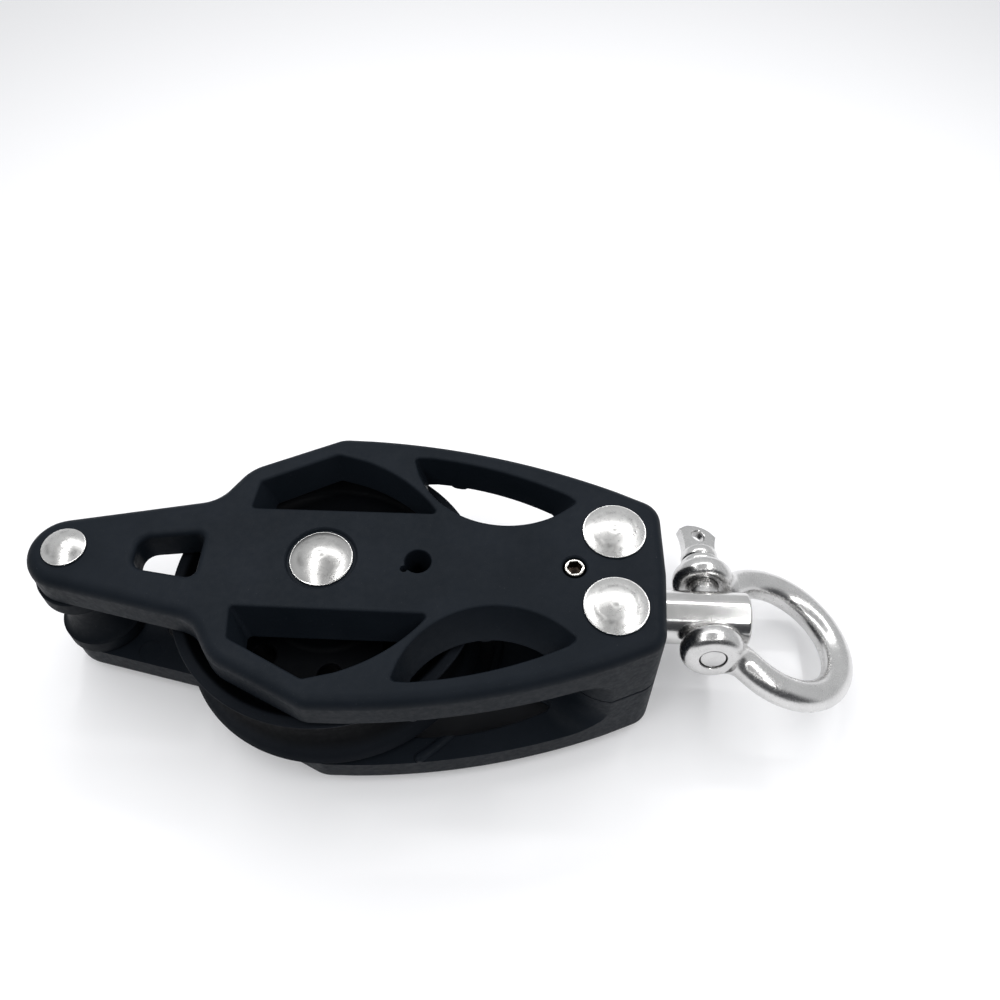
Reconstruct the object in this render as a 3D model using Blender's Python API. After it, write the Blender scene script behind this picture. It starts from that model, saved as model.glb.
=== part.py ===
"""Single sheave block with a becket, a lockable swivel head and a bow shackle.

The block is described about the sheave's centre: X runs from the becket to the shackle,
Y across the cheeks and Z along the sheave's axis. The root empty then lifts and shifts the
whole block so that the origin is under the middle of its box, on the surface it lies on.
"""
from math import acos, atan2, cos, hypot, pi, radians, sin, tan

import bmesh
import bpy
from mathutils import Matrix, Vector

MM = 0.001
GAP = 0.3 * MM              # clearance between neighbouring pieces

# Sheave and its bearing
SHEAVE_RADIUS = 30.0 * MM
SHEAVE_HALF_WIDTH = 8.5 * MM
GROOVE_DEPTH = 3.0 * MM
FLANGE_EDGE = 0.8 * MM
WEB_HALF_THICKNESS = 4.0 * MM
WEB_OUTER_RADIUS = 25.0 * MM
RIM_LAND_RADIUS = 28.2 * MM
WEB_HOLE_COUNT = 8
WEB_HOLE_RADIUS = 2.4 * MM
WEB_HOLE_CIRCLE = 17.6 * MM
WEB_HOLE_PHASE = radians(-82.5)
BUSH_OUTER_RADIUS = 8.0 * MM
SLEEVE_OUTER_RADIUS = 6.0 * MM
AXLE_RADIUS = 4.0 * MM
WASHER_RADIUS = 10.2 * MM

# Cheeks
HALF_THICKNESS = 17.3 * MM
INNER_FACE = 9.8 * MM
PARTING_GAP = 0.15 * MM
RIM_FILLET = 2.4 * MM
HEAD_END = 64.5 * MM
GUARD_RADIUS = 33.5 * MM
GUARD_WIDTH = 2.0 * MM
GUARD_HEIGHT = 0.9 * MM
GUARD_REACH = radians(56.0)
HEAD_FACE_MIDDLE = 42.0 * MM
HEAD_FACE_EDGE = 45.8 * MM
HEAD_FACE_HALF_WIDTH = 12.6 * MM
HEAD_FACE_FILLET = 5.0 * MM
WINDOW_FLOOR = 6.0 * MM
INDEX_HOLE_X = 18.1 * MM
INDEX_HOLE_RADIUS = 2.7 * MM

# Rivets
AXLE_HEAD_RADIUS = 5.9 * MM
AXLE_RECESS_RADIUS = 6.9 * MM
AXLE_RECESS_DEPTH = 0.7 * MM
HEAD_RIVET_X = 54.8 * MM
HEAD_RIVET_Y = 8.1 * MM
HEAD_RIVET_RADIUS = 3.3 * MM
HEAD_RIVET_HEAD = 6.0 * MM
BECKET_X = -48.4 * MM
BECKET_RIVET_RADIUS = 2.4 * MM
BECKET_RIVET_HEAD = 4.15 * MM
RIVET_DOME = 1.7 * MM

# Becket spool
SPOOL_FLANGE_RADIUS = 8.0 * MM
SPOOL_WAIST_RADIUS = 6.0 * MM
SPOOL_FLANGE = 3.4 * MM

# Swivel post and its lock screw
POST_RADIUS = 5.35 * MM
POST_START = 44.8 * MM
POST_END = 82.6 * MM
POST_RETAINING_RADIUS = 4.5 * MM
POST_LOCK_RADIUS = 4.6 * MM
LOCK_SCREW_X = 47.3 * MM
LOCK_SCREW_RADIUS = 1.9 * MM
LOCK_SCREW_TIP = 6.1 * MM
LOCK_SCREW_TOP = 17.1 * MM
HEX_SOCKET_RADIUS = 1.5 * MM
HEX_SOCKET_DEPTH = 2.2 * MM

# Bow shackle: u runs out from the pin, v along the pin
PIN_X = 74.8 * MM
SWIVEL_ROLL = radians(-10.7)
SHACKLE_DROOP = radians(22.6)
SHACKLE_SHIFT = 1.0 * MM
PIN_RADIUS = 3.0 * MM
WIRE_RADIUS = 3.1 * MM
BOW_CENTRE = 16.9 * MM
BOW_RADIUS = 13.7 * MM
LEG_START = 5.9 * MM
LEG_OFFSET = 9.2 * MM
EYE_RADIUS = 6.2 * MM
EYE_INNER = 6.65 * MM
EYE_OUTER = 11.4 * MM
COLLAR_RADIUS = 4.3 * MM
COLLAR_END = 13.5 * MM
KNOB_RADIUS = 3.75 * MM
KNOB_END = 16.4 * MM
TAB_END = 24.0 * MM
TAB_HALF_WIDTH = 4.3 * MM
TAB_WAIST = 3.6 * MM
TAB_HALF_THICKNESS = 1.1 * MM
TAB_TILT = radians(17.0)
TAB_HOLE_RADIUS = 1.5 * MM
TAB_HOLE_POSITION = 21.1 * MM

# The box is centred over the origin and stands on it
BOW_REACH = PIN_X + (BOW_CENTRE + BOW_RADIUS) * cos(SHACKLE_DROOP) + WIRE_RADIUS
BLOCK_X = -(BECKET_X - SPOOL_FLANGE_RADIUS + BOW_REACH) / 2
BLOCK_Z = HALF_THICKNESS + RIVET_DOME


# ---------------------------------------------------------------- outlines

def arc_through(start, middle, end, steps):
    """Points along the circle through three points, without the first one."""
    (ax, ay), (bx, by), (cx, cy) = start, middle, end
    area = 2 * (ax * (by - cy) + bx * (cy - ay) + cx * (ay - by))
    a, b, c = ax * ax + ay * ay, bx * bx + by * by, cx * cx + cy * cy
    ox = (a * (by - cy) + b * (cy - ay) + c * (ay - by)) / area
    oy = (a * (cx - bx) + b * (ax - cx) + c * (bx - ax)) / area
    radius = hypot(ax - ox, ay - oy)
    first = atan2(ay - oy, ax - ox)
    sweep = atan2(cy - oy, cx - ox) - first
    toward = atan2(by - oy, bx - ox) - first
    sweep %= 2 * pi
    if toward % (2 * pi) > sweep:
        sweep -= 2 * pi
    angles = [first + sweep * step / steps for step in range(1, steps + 1)]
    return [(ox + radius * cos(angle), oy + radius * sin(angle)) for angle in angles]


def rounded(corners, steps=4):
    """A closed outline from (x, y, corner radius); radius 0 keeps the point as it is."""
    points = []
    count = len(corners)
    for index, (x, y, radius) in enumerate(corners):
        if radius == 0:
            points.append((x, y))
            continue
        here = Vector((x, y))
        before = (Vector(corners[index - 1][:2]) - here).normalized()
        after = (Vector(corners[(index + 1) % count][:2]) - here).normalized()
        half = acos(max(-1, min(1, before.dot(after)))) / 2
        reach = radius / tan(half)
        centre = here + (before + after).normalized() * (radius / sin(half))
        first = here + before * reach - centre
        last = here + after * reach - centre
        turn = first.angle_signed(last)
        for step in range(steps + 1):
            spot = first.copy()
            spot.rotate(Matrix.Rotation(-turn * step / steps, 2))
            points.append(tuple(centre + spot))
    return points


def scaled(points):
    return [(x * MM, y * MM) for x, y in points]


def plain(points):
    """Outline points in millimetres as corners with no rounding."""
    return [(x, y, 0) for x, y in points]


def cheek_outline():
    rim = arc_through((0.3, 29.55), (32.3, 26.1), (60.0, 16.95), 12)
    half = plain(arc_through((-55.9, 0.0), (-53.7, 5.3), (-49.96, 7.335), 6))
    half += [(-22.2, 13.25, 3.5), (-17.4, 21.0, 4.0), (0.3, 29.55, 6.0)]
    half += plain(rim[1:-1]) + [(63.9, 15.1, 4.8)]
    whole = [(-55.9, 0, 0)] + half + [(64.5, 0, 0)] + [(x, -y, r) for x, y, r in reversed(half)]
    return scaled(rounded(whole))


def pocket_outlines(side):
    """The pocket's outline at the cheek's inner face and, wider, at its outer face."""
    levels = []
    for corners, curve in (
        ([(-12.8, 13.0, 0.8), (-12.5, 16.9, 0.8), (-0.1, 23.7, 1.5)],
         arc_through((1.9, 23.1), (13.3, 18.0), (18.8, 13.0), 8)),
        ([(-15.3, 10.6, 0.8), (-14.6, 17.2, 0.8), (0.0, 24.9, 1.5)],
         arc_through((2.2, 24.4), (13.9, 18.7), (21.3, 10.8), 8)),
    ):
        outline = rounded(corners + plain(curve), 3)
        levels.append(scaled([(x, side * y) for x, y in outline]))
    return levels


def crescent_outlines(side):
    """The crescent's outline at the cheek's inner face and, wider, at its outer face."""
    levels = []
    for inner, tip, outer in (
        (arc_through((43.6, 15.6), (33.2, 11.9), (18.1, 20.6), 14), (17.2, 22.9),
         arc_through((18.6, 23.7), (32.6, 21.1), (44.0, 16.5), 8)),
        (arc_through((47.4, 14.5), (34.4, 8.7), (16.2, 20.8), 14), (15.1, 24.5),
         arc_through((17.0, 24.8), (33.0, 21.7), (46.9, 16.0), 8)),
    ):
        outline = rounded(plain(inner) + [(*tip, 0)] + plain(outer))
        levels.append(scaled([(x, side * y) for x, y in outline]))
    return levels


def slot_outline():
    corners = [(-22.3, 5.7, 1.8), (-22.3, -5.7, 1.8), (-35.8, -3.7, 3.0), (-35.8, 3.7, 3.0)]
    return scaled(rounded(corners))


def rope_space_outline():
    """Everything between the cheeks up to the head's inner face, which bows towards the sheave."""
    steps = 6
    face = []
    for step in range(steps + 1):
        y = HEAD_FACE_HALF_WIDTH * step / steps
        bulge = (HEAD_FACE_EDGE - HEAD_FACE_MIDDLE) * (y / HEAD_FACE_HALF_WIDTH) ** 2
        face.append((HEAD_FACE_MIDDLE + bulge, y))
    face += scaled([(47.3, 14.9), (49.4, 16.8), (52.3, 18.2), (55.5, 18.95), (63.0, 20.7), (63.0, 32.0)])
    beyond = BECKET_X - 18 * MM
    face.append((beyond, face[-1][1]))
    return [(x, -y) for x, y in reversed(face)] + face[1:]


# ---------------------------------------------------------------- solids

def prism(outline, low, high):
    """Straight extrusion of a plan outline between two heights."""
    bm = bmesh.new()
    ring = [bm.verts.new((x, y, low)) for x, y in outline]
    face = bm.faces.new(ring)
    top = bmesh.ops.extrude_face_region(bm, geom=[face], use_keep_orig=True)
    lifted = [item for item in top["geom"] if isinstance(item, bmesh.types.BMVert)]
    bmesh.ops.translate(bm, verts=lifted, vec=(0, 0, high - low))
    bmesh.ops.recalc_face_normals(bm, faces=bm.faces)
    return bm


def lofted(lower, upper, low, high):
    """Straight walls between two plan outlines of the same point count."""
    bm = bmesh.new()
    count = len(lower)
    rings = [[bm.verts.new((x, y, height)) for x, y in outline]
             for outline, height in ((lower, low), (upper, high))]
    for index in range(count):
        after = (index + 1) % count
        bm.faces.new([rings[0][index], rings[0][after], rings[1][after], rings[1][index]])
    for ring_of_verts in rings:
        bm.faces.new(ring_of_verts)
    bmesh.ops.recalc_face_normals(bm, faces=bm.faces)
    return bm


def turned(profile, segments, closed=False):
    """Revolve (radius, height) points about Z. An open profile ends on the axis."""
    bm = bmesh.new()
    rings = []
    for radius, height in profile:
        count = segments if radius > 0 else 1
        turns = [2 * pi * step / segments for step in range(count)]
        rings.append([bm.verts.new((radius * cos(turn), radius * sin(turn), height)) for turn in turns])
    pairs = list(zip(rings, rings[1:]))
    if closed:
        pairs.append((rings[-1], rings[0]))
    for lower, upper in pairs:
        for step in range(segments):
            after = (step + 1) % segments
            corners = [lower[step % len(lower)], lower[after % len(lower)],
                       upper[after % len(upper)], upper[step % len(upper)]]
            distinct = list(dict.fromkeys(corners))
            if len(distinct) > 2:
                bm.faces.new(distinct)
    bmesh.ops.recalc_face_normals(bm, faces=bm.faces)
    return bm


def rod(radius, low, high, segments=24):
    return turned([(0, low), (radius, low), (radius, high), (0, high)], segments)


def ring(inner, outer, low, high, segments=40):
    return turned([(inner, low), (outer, low), (outer, high), (inner, high)], segments, closed=True)


def shifted(bm, x=0.0, y=0.0, z=0.0):
    bmesh.ops.translate(bm, verts=bm.verts, vec=(x, y, z))
    return bm


def rotated(bm, angle, axis):
    bmesh.ops.rotate(bm, verts=bm.verts, matrix=Matrix.Rotation(angle, 3, axis))
    return bm


def joined(*solids):
    """Several solids as separate bodies of one mesh."""
    whole = bmesh.new()
    for solid in solids:
        piece = bpy.data.meshes.new("piece")
        solid.to_mesh(piece)
        solid.free()
        whole.from_mesh(piece)
        bpy.data.meshes.remove(piece)
    return whole


# ---------------------------------------------------------------- scene objects

def material(name, colour, roughness, metallic):
    result = bpy.data.materials.new(name)
    result.use_nodes = True
    shader = result.node_tree.nodes["Principled BSDF"]
    shader.inputs["Base Color"].default_value = (*colour, 1)
    shader.inputs["Roughness"].default_value = roughness
    shader.inputs["Metallic"].default_value = metallic
    return result


def add_object(name, bm, parent):
    mesh = bpy.data.meshes.new(name)
    bm.to_mesh(mesh)
    bm.free()
    result = bpy.data.objects.new(name, mesh)
    bpy.context.collection.objects.link(result)
    result.parent = parent
    return result


def add_part(name, bm, parent, finish):
    result = add_object(name, bm, parent)
    result.data.materials.append(finish)
    result.data.shade_smooth()
    result.data.set_sharp_from_angle(angle=radians(35))
    return result


def add_helper(name, bm, parent):
    result = add_object(name, bm, parent)
    result.hide_render = True
    result.display_type = "WIRE"
    return result


def add_empty(name, parent=None, location=(0, 0, 0), rotation=(0, 0, 0)):
    result = bpy.data.objects.new(name, None)
    bpy.context.collection.objects.link(result)
    result.parent = parent
    result.location = location
    result.rotation_euler = rotation
    return result


def boolean(target, helper, operation="DIFFERENCE"):
    step = target.modifiers.new(helper.name, "BOOLEAN")
    step.operation = operation
    step.object = helper
    step.solver = "EXACT"


# ---------------------------------------------------------------- cheeks

def bevel_rim(cheek, side):
    """Round the cheek's outer edge, the one loop at the outer face."""
    mesh = cheek.data
    weights = mesh.attributes.new("bevel_weight_edge", "FLOAT", "EDGE")
    for edge in mesh.edges:
        heights = [side * mesh.vertices[index].co.z for index in edge.vertices]
        weights.data[edge.index].value = 1.0 if min(heights) > HALF_THICKNESS - GAP else 0.0
    rim = cheek.modifiers.new("rim_fillet", "BEVEL")
    rim.limit_method = "WEIGHT"
    rim.width = RIM_FILLET
    rim.segments = 3
    rim.use_clamp_overlap = False


def rope_space(name, side, parent):
    """The space between the cheeks, filleted into the head and grooved to leave the rope guard."""
    outline = rope_space_outline()
    helper = add_helper(name, prism(outline, -side * INNER_FACE, side * INNER_FACE), parent)
    mesh = helper.data
    weights = mesh.attributes.new("bevel_weight_edge", "FLOAT", "EDGE")
    for edge in mesh.edges:
        ends = [mesh.vertices[index].co for index in edge.vertices]
        on_face = min(end.x for end in ends) > 0
        at_top = min(side * end.z for end in ends) > 0
        weights.data[edge.index].value = 1.0 if on_face and at_top else 0.0
    fillet = helper.modifiers.new("head_fillet", "BEVEL")
    fillet.limit_method = "WEIGHT"
    fillet.width = HEAD_FACE_FILLET
    fillet.segments = 4
    fillet.use_clamp_overlap = False
    guard = add_helper(name + "_guard", rope_guard(side), parent)
    boolean(helper, guard)
    return helper


def rope_guard(side):
    """Part of a ring, on the head's side of the sheave, that keeps the rope off its edge."""
    steps = 16
    inner = GUARD_RADIUS - GUARD_WIDTH / 2
    outer = GUARD_RADIUS + GUARD_WIDTH / 2
    turns = [GUARD_REACH * (2 * step / steps - 1) for step in range(steps + 1)]
    outline = [(outer * cos(turn), outer * sin(turn)) for turn in turns]
    outline += [(inner * cos(turn), inner * sin(turn)) for turn in reversed(turns)]
    return prism(outline, side * (INNER_FACE - GUARD_HEIGHT), side * (INNER_FACE + MM))


def window_levels():
    return [pocket_outlines(1), pocket_outlines(-1), crescent_outlines(1), crescent_outlines(-1)]


def window(levels, side, beyond):
    """Cutter whose walls pass through the outlines at the inner and the outer face."""
    depth = HALF_THICKNESS - INNER_FACE
    ends = []
    for height in (WINDOW_FLOOR, beyond):
        share = (height - INNER_FACE) / depth
        ends.append([(ax + (bx - ax) * share, ay + (by - ay) * share)
                     for (ax, ay), (bx, by) in zip(*levels)])
    return lofted(*ends, side * WINDOW_FLOOR, side * beyond)


def through_holes():
    """Round holes square to the cheek as (x, y, radius)."""
    return [
        (0, 0, AXLE_RADIUS + GAP),
        (INDEX_HOLE_X, 0, INDEX_HOLE_RADIUS),
        (BECKET_X, 0, BECKET_RIVET_RADIUS + GAP),
        (HEAD_RIVET_X, HEAD_RIVET_Y, HEAD_RIVET_RADIUS + GAP),
        (HEAD_RIVET_X, -HEAD_RIVET_Y, HEAD_RIVET_RADIUS + GAP),
    ]


def build_cheek(name, side, parent, finish):
    body = prism(cheek_outline(), side * PARTING_GAP, side * HALF_THICKNESS)
    cheek = add_part(name, body, parent, finish)
    bevel_rim(cheek, side)
    boolean(cheek, rope_space(name + "_rope_space", side, parent))
    beyond = HALF_THICKNESS + 2 * MM
    cuts = joined(prism(slot_outline(), side * WINDOW_FLOOR, side * beyond),
                  *[window(levels, side, beyond) for levels in window_levels()])
    boolean(cheek, add_helper(name + "_windows", cuts, parent))
    holes = [shifted(rod(radius, -side * MM, side * beyond), x, y) for x, y, radius in through_holes()]
    holes.append(rod(AXLE_RECESS_RADIUS, side * (HALF_THICKNESS - AXLE_RECESS_DEPTH), side * beyond, 32))
    bore_length = HEAD_END + 5 * MM - (POST_START - GAP)
    bore = shifted(rotated(rod(POST_RADIUS + GAP, 0, bore_length, 32), pi / 2, "Y"), POST_START - GAP)
    if side > 0:
        holes.append(shifted(rod(LOCK_SCREW_RADIUS + GAP, POST_LOCK_RADIUS, beyond), LOCK_SCREW_X))
    for index, hole in enumerate([*holes, bore]):
        boolean(cheek, add_helper(f"{name}_hole_{index}", hole, parent))
    return cheek


# ---------------------------------------------------------------- sheave and axle

def sheave_profile():
    """Closed (radius, height) loop: bore, dished web, flange edges and a round-bottomed groove."""
    half_groove = SHEAVE_HALF_WIDTH - FLANGE_EDGE
    groove_radius = (half_groove ** 2 + GROOVE_DEPTH ** 2) / (2 * GROOVE_DEPTH)
    sweep = atan2(half_groove, groove_radius - GROOVE_DEPTH)
    centre = SHEAVE_RADIUS - GROOVE_DEPTH + groove_radius
    steps = 8
    groove = []
    for step in range(steps + 1):
        turn = sweep * (1 - 2 * step / steps)
        groove.append((centre - groove_radius * cos(turn), groove_radius * sin(turn)))
    inner = BUSH_OUTER_RADIUS + GAP
    side = [(inner, SHEAVE_HALF_WIDTH), (WASHER_RADIUS + MM, SHEAVE_HALF_WIDTH),
            (WASHER_RADIUS + 2 * MM, WEB_HALF_THICKNESS), (WEB_OUTER_RADIUS, WEB_HALF_THICKNESS),
            (RIM_LAND_RADIUS, SHEAVE_HALF_WIDTH),
            (SHEAVE_RADIUS - FLANGE_EDGE / 2, SHEAVE_HALF_WIDTH)]
    return side + groove + [(radius, -height) for radius, height in reversed(side)]


def build_sheave(parent, finish):
    sheave = add_part("sheave", turned(sheave_profile(), 56, closed=True), parent, finish)
    for index in range(WEB_HOLE_COUNT):
        turn = WEB_HOLE_PHASE + 2 * pi * index / WEB_HOLE_COUNT
        x, y = WEB_HOLE_CIRCLE * cos(turn), WEB_HOLE_CIRCLE * sin(turn)
        hole = shifted(rod(WEB_HOLE_RADIUS, -SHEAVE_HALF_WIDTH - MM, SHEAVE_HALF_WIDTH + MM, 14), x, y)
        boolean(sheave, add_helper(f"web_hole_{index}", hole, parent))
    return sheave


def rivet(shank_radius, head_radius, head_seat, dome, segments=28):
    """A shank with a low domed head at each end; head_seat is the height of a head's underside."""
    rise = head_seat + dome
    edge = 0.25 * dome
    half = [(shank_radius, head_seat), (head_radius, head_seat), (head_radius, head_seat + edge)]
    steps = 4
    for step in range(1, steps):
        turn = pi / 2 * step / steps
        half.append((head_radius * cos(turn), head_seat + edge + (rise - head_seat - edge) * sin(turn)))
    half.append((0, rise))
    lower = [(radius, -height) for radius, height in reversed(half)]
    return turned(lower + half, segments)


def build_axle(parent, steel, bearing):
    sleeve_half = INNER_FACE - GAP
    washer_low = SHEAVE_HALF_WIDTH + GAP
    add_part("axle_sleeve", ring(AXLE_RADIUS + GAP, SLEEVE_OUTER_RADIUS, -sleeve_half, sleeve_half),
             parent, steel)
    for name, side in (("axle_washer_upper", 1), ("axle_washer_lower", -1)):
        washer = ring(SLEEVE_OUTER_RADIUS + GAP, WASHER_RADIUS, side * washer_low, side * sleeve_half)
        add_part(name, washer, parent, bearing)
    seat = HALF_THICKNESS - AXLE_RECESS_DEPTH + GAP
    dome = HALF_THICKNESS + RIVET_DOME - seat
    add_part("axle_rivet", rivet(AXLE_RADIUS, AXLE_HEAD_RADIUS, seat, dome), parent, steel)


def build_becket(parent, steel, finish):
    half = INNER_FACE - GAP
    steps = 8
    straight = half - SPOOL_FLANGE
    waist = []
    for step in range(steps + 1):
        turn = pi * step / steps
        depth = (SPOOL_FLANGE_RADIUS - SPOOL_WAIST_RADIUS) * sin(turn)
        waist.append((SPOOL_FLANGE_RADIUS - depth, straight * cos(turn)))
    bore = BECKET_RIVET_RADIUS + GAP
    profile = [(bore, half), (SPOOL_FLANGE_RADIUS, half), *waist,
               (SPOOL_FLANGE_RADIUS, -half), (bore, -half)]
    spool = add_part("becket_spool", turned(profile, 32, closed=True), parent, finish)
    spool.location.x = BECKET_X
    seat = HALF_THICKNESS + GAP
    pin = rivet(BECKET_RIVET_RADIUS, BECKET_RIVET_HEAD, seat, RIVET_DOME - GAP, 24)
    add_part("becket_rivet", pin, parent, steel).location.x = BECKET_X


def build_head_rivets(parent, steel):
    for name, side in (("head_rivet_near", -1), ("head_rivet_far", 1)):
        body = rivet(HEAD_RIVET_RADIUS, HEAD_RIVET_HEAD, HALF_THICKNESS + GAP, RIVET_DOME - GAP)
        add_part(name, body, parent, steel).location = (HEAD_RIVET_X, side * HEAD_RIVET_Y, 0)


# ---------------------------------------------------------------- swivel

def build_swivel_post(parent, steel):
    """Turned post along X: a lock groove at its inner end and a retaining groove between the rivets."""
    chamfer = 0.6 * MM
    lock_half = LOCK_SCREW_RADIUS + 0.5 * MM
    hold_half = HEAD_RIVET_RADIUS + 0.3 * MM
    profile = [
        (0, POST_START), (POST_LOCK_RADIUS, POST_START),
        (POST_LOCK_RADIUS, LOCK_SCREW_X + lock_half), (POST_RADIUS, LOCK_SCREW_X + lock_half),
        (POST_RADIUS, HEAD_RIVET_X - hold_half), (POST_RETAINING_RADIUS, HEAD_RIVET_X - hold_half),
        (POST_RETAINING_RADIUS, HEAD_RIVET_X + hold_half), (POST_RADIUS, HEAD_RIVET_X + hold_half),
        (POST_RADIUS, POST_END - chamfer), (POST_RADIUS - chamfer, POST_END), (0, POST_END),
    ]
    body = rotated(turned(profile, 36), pi / 2, "Y")
    post = add_part("swivel_post", body, parent, steel)
    cross = rotated(rod(PIN_RADIUS + GAP, -2 * POST_RADIUS, 2 * POST_RADIUS), pi / 2, "X")
    boolean(post, add_helper("pin_cross_hole", shifted(cross, PIN_X), parent))


def build_lock_screw(parent, steel):
    """Set screw: flat top with a hex socket, cone tip."""
    cone = 0.8 * MM
    profile = [(0, LOCK_SCREW_TIP), (LOCK_SCREW_RADIUS - cone, LOCK_SCREW_TIP),
               (LOCK_SCREW_RADIUS, LOCK_SCREW_TIP + cone), (LOCK_SCREW_RADIUS, LOCK_SCREW_TOP),
               (0, LOCK_SCREW_TOP)]
    screw = add_part("swivel_lock_screw", turned(profile, 24), parent, steel)
    screw.location.x = LOCK_SCREW_X
    socket = rod(HEX_SOCKET_RADIUS, LOCK_SCREW_TOP - HEX_SOCKET_DEPTH, LOCK_SCREW_TOP + MM, 6)
    boolean(screw, add_helper("hex_socket", shifted(socket, LOCK_SCREW_X), parent))


# ---------------------------------------------------------------- shackle

def bow_path():
    """Centre line in the (u, v) plane: leg, round bow, leg."""
    reach = hypot(BOW_CENTRE - LEG_START, LEG_OFFSET)
    from_centre = atan2(LEG_OFFSET, LEG_START - BOW_CENTRE)
    tangent = from_centre - acos(BOW_RADIUS / reach)
    steps = 30
    path = [(LEG_START, LEG_OFFSET)]
    for step in range(steps + 1):
        turn = tangent * (1 - 2 * step / steps)
        path.append((BOW_CENTRE + BOW_RADIUS * cos(turn), BOW_RADIUS * sin(turn)))
    path.append((LEG_START, -LEG_OFFSET))
    return path


def swept_wire(path, radius, sides):
    """A round wire along a flat path, with capped ends."""
    bm = bmesh.new()
    rings = []
    for index, (u, v) in enumerate(path):
        before, after = path[max(index - 1, 0)], path[min(index + 1, len(path) - 1)]
        along = Vector((after[0] - before[0], after[1] - before[1], 0)).normalized()
        across = Vector((along.y, -along.x, 0))
        loop = []
        for side in range(sides):
            turn = 2 * pi * side / sides
            spot = Vector((u, v, 0)) + radius * (cos(turn) * across + sin(turn) * Vector((0, 0, 1)))
            loop.append(bm.verts.new(spot))
        rings.append(loop)
    for lower, upper in zip(rings, rings[1:]):
        for side in range(sides):
            after = (side + 1) % sides
            bm.faces.new([lower[side], lower[after], upper[after], upper[side]])
    bm.faces.new(rings[0])
    bm.faces.new(rings[-1])
    bmesh.ops.recalc_face_normals(bm, faces=bm.faces)
    return bm


def eye(low, high, edge, segments=24):
    """An eye along Y with rounded rims and a clear bore for the pin."""
    bore = PIN_RADIUS + GAP
    steps = 3
    profile = [(bore, high), (bore, low)]
    for step in range(steps + 1):
        turn = pi / 2 * step / steps
        profile.append((EYE_RADIUS - edge + edge * sin(turn), low + edge - edge * cos(turn)))
    for step in range(steps + 1):
        turn = pi / 2 * step / steps
        profile.append((EYE_RADIUS - edge + edge * cos(turn), high - edge + edge * sin(turn)))
    return rotated(turned(profile, segments, closed=True), -pi / 2, "X")


def build_bow(parent, steel):
    bow = add_part("shackle_bow", swept_wire(bow_path(), WIRE_RADIUS, 14), parent, steel)
    edge = 1.6 * MM
    eyes = joined(eye(EYE_INNER, EYE_OUTER, edge), eye(-EYE_OUTER, -EYE_INNER, edge))
    boolean(bow, add_helper("shackle_eyes", eyes, parent), "UNION")


def build_pin(parent, steel):
    """Round pin along Y with a collar and a knob at the far eye, and a flat tab to turn it by."""
    collar_start = EYE_OUTER + GAP
    chamfer = 0.4 * MM
    profile = [(0, -EYE_OUTER), (PIN_RADIUS - chamfer, -EYE_OUTER), (PIN_RADIUS, -EYE_OUTER + chamfer),
               (PIN_RADIUS, collar_start), (COLLAR_RADIUS, collar_start), (COLLAR_RADIUS, COLLAR_END),
               (KNOB_RADIUS, COLLAR_END + GAP), (KNOB_RADIUS, KNOB_END - chamfer),
               (KNOB_RADIUS - chamfer, KNOB_END), (0, KNOB_END)]
    body = rotated(turned(profile, 24), -pi / 2, "X")
    pin = add_part("shackle_pin", body, parent, steel)
    shoulder = TAB_END - 1.5 * MM
    corners = [(TAB_WAIST, KNOB_END - MM, 0), (TAB_WAIST, KNOB_END + MM, 2 * MM),
               (TAB_HALF_WIDTH, shoulder, 1.5 * MM), (0.5 * TAB_HALF_WIDTH, TAB_END, 2 * MM)]
    shape = rounded([(-x, y, r) for x, y, r in reversed(corners)] + corners, 3)
    blade = rotated(prism(shape, -TAB_HALF_THICKNESS, TAB_HALF_THICKNESS), TAB_TILT, "Y")
    boolean(pin, add_helper("pin_tab", blade, parent), "UNION")
    hole = rod(TAB_HOLE_RADIUS, -2 * TAB_HALF_THICKNESS, 2 * TAB_HALF_THICKNESS, 16)
    hole = rotated(shifted(hole, 0, TAB_HOLE_POSITION), TAB_TILT, "Y")
    boolean(pin, add_helper("pin_tab_hole", hole, parent))


# ---------------------------------------------------------------- assembly

def main():
    for item in list(bpy.data.objects):
        bpy.data.objects.remove(item)

    moulded = material("moulded_nylon", (0.018, 0.019, 0.022), 0.55, 0.0)
    sheave_finish = material("sheave_nylon", (0.016, 0.017, 0.019), 0.5, 0.0)
    spool_finish = material("spool_nylon", (0.014, 0.014, 0.016), 0.45, 0.0)
    bearing = material("bearing_acetal", (0.75, 0.74, 0.7), 0.4, 0.0)
    rivet_steel = material("rivet_steel", (0.78, 0.77, 0.75), 0.3, 1.0)
    post_steel = material("turned_steel", (0.74, 0.73, 0.71), 0.28, 1.0)
    shackle_steel = material("polished_steel", (0.8, 0.79, 0.77), 0.16, 1.0)

    block = add_empty("block", location=(BLOCK_X, 0, BLOCK_Z))
    build_cheek("cheek_upper", 1, block, moulded)
    build_cheek("cheek_lower", -1, block, moulded)
    build_sheave(block, sheave_finish)
    add_part("sheave_bush", ring(SLEEVE_OUTER_RADIUS + GAP, BUSH_OUTER_RADIUS, -SHEAVE_HALF_WIDTH,
                                 SHEAVE_HALF_WIDTH), block, bearing)
    build_axle(block, rivet_steel, bearing)
    build_becket(block, rivet_steel, spool_finish)
    build_head_rivets(block, rivet_steel)

    swivel = add_empty("swivel_axis", block, rotation=(SWIVEL_ROLL, 0, 0))
    build_swivel_post(swivel, post_steel)
    build_lock_screw(block, post_steel)
    pin_axis = add_empty("pin_axis", swivel, location=(PIN_X, SHACKLE_SHIFT, 0))
    droop = add_empty("shackle_droop", pin_axis, rotation=(0, SHACKLE_DROOP, 0))
    build_bow(droop, shackle_steel)
    build_pin(pin_axis, shackle_steel)


main()
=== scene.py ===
from math import acos, atan2, cos, exp, hypot, pi, radians, sin, tan

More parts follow.
